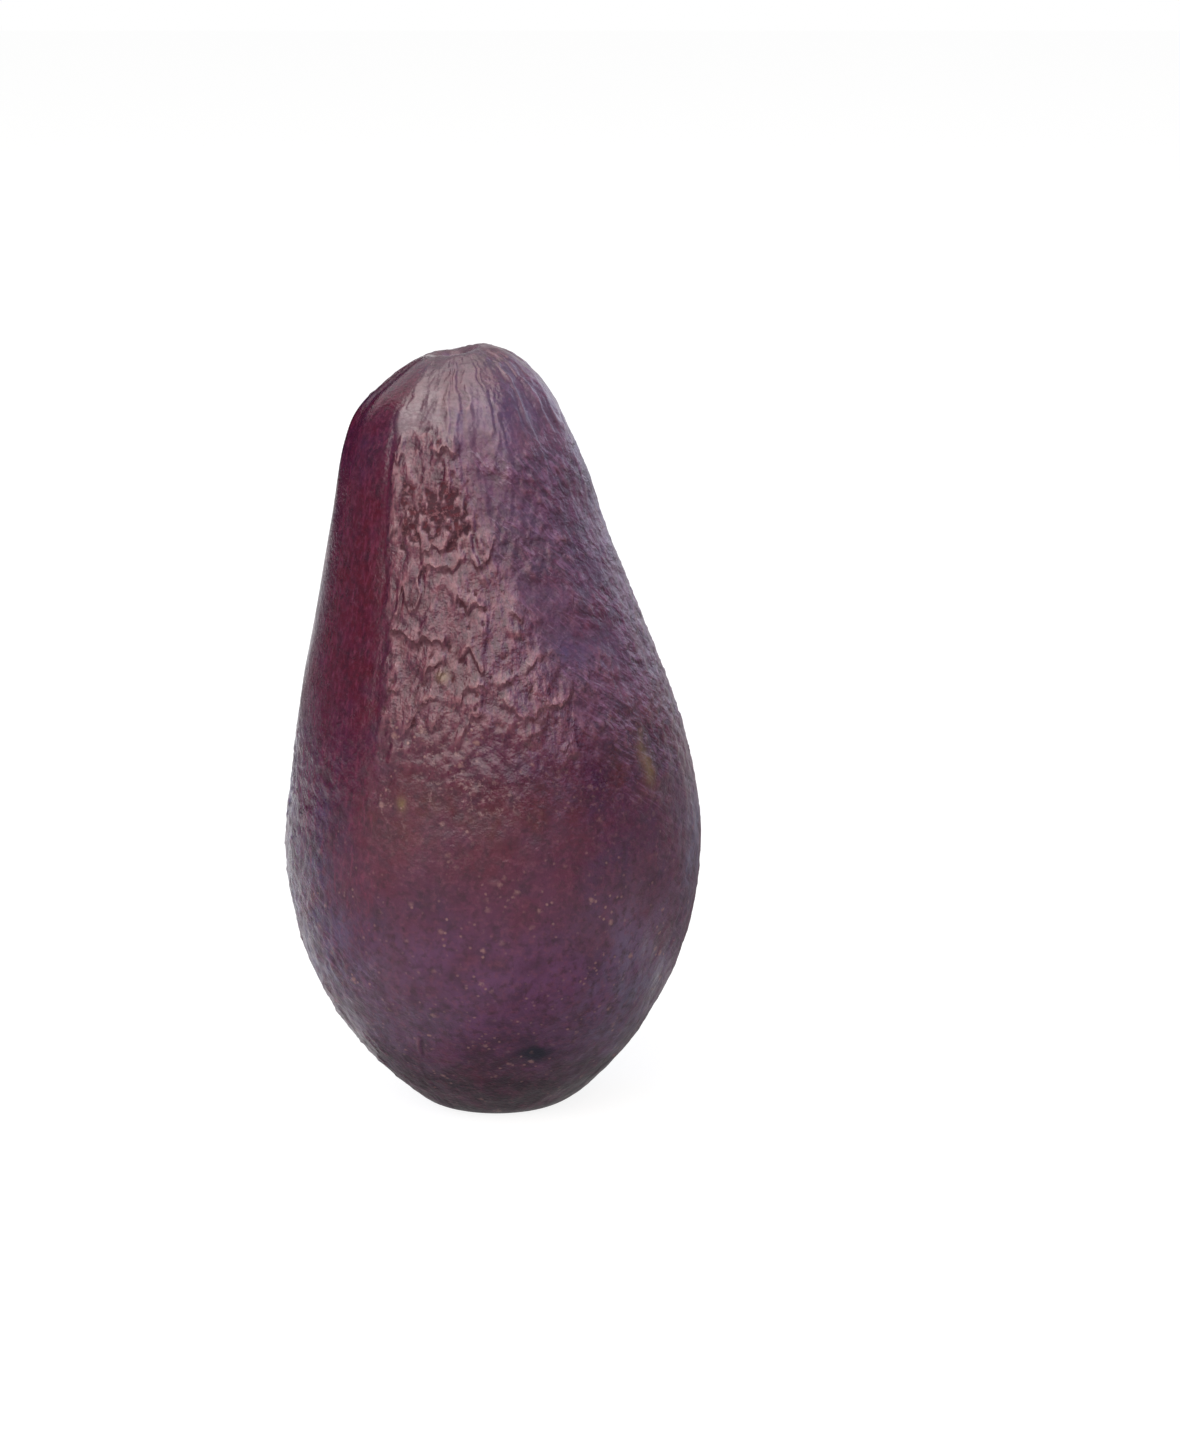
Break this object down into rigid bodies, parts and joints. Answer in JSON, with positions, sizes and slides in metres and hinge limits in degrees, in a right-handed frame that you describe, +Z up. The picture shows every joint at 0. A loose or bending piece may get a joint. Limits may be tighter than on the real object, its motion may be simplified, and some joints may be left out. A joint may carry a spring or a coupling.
{
  "type": "african pear",
  "caption": "African pear: a tapering, egg-based fruit with a blunt folded stem end and a waxy, finely wrinkled dark wine-purple skin, standing on its broad end.",
  "frame": {"origin": "on the plane the fruit rests on, under the middle of its bounding box", "axes": "+Z up from the resting spot to the stem end, -Y the fruit's broad front face, +X to the right seen from the front; the neck leans to -X"},
  "size_m": [0.0492, 0.0478, 0.0904],
  "materials": {
    "fruit_skin": "waxy, semi-gloss, wrinkled fruit skin, dark wine purple"
  },
  "bodies": {
    "root": {"pear_fruit": "fruit_skin"}
  },
  "joints": []
}
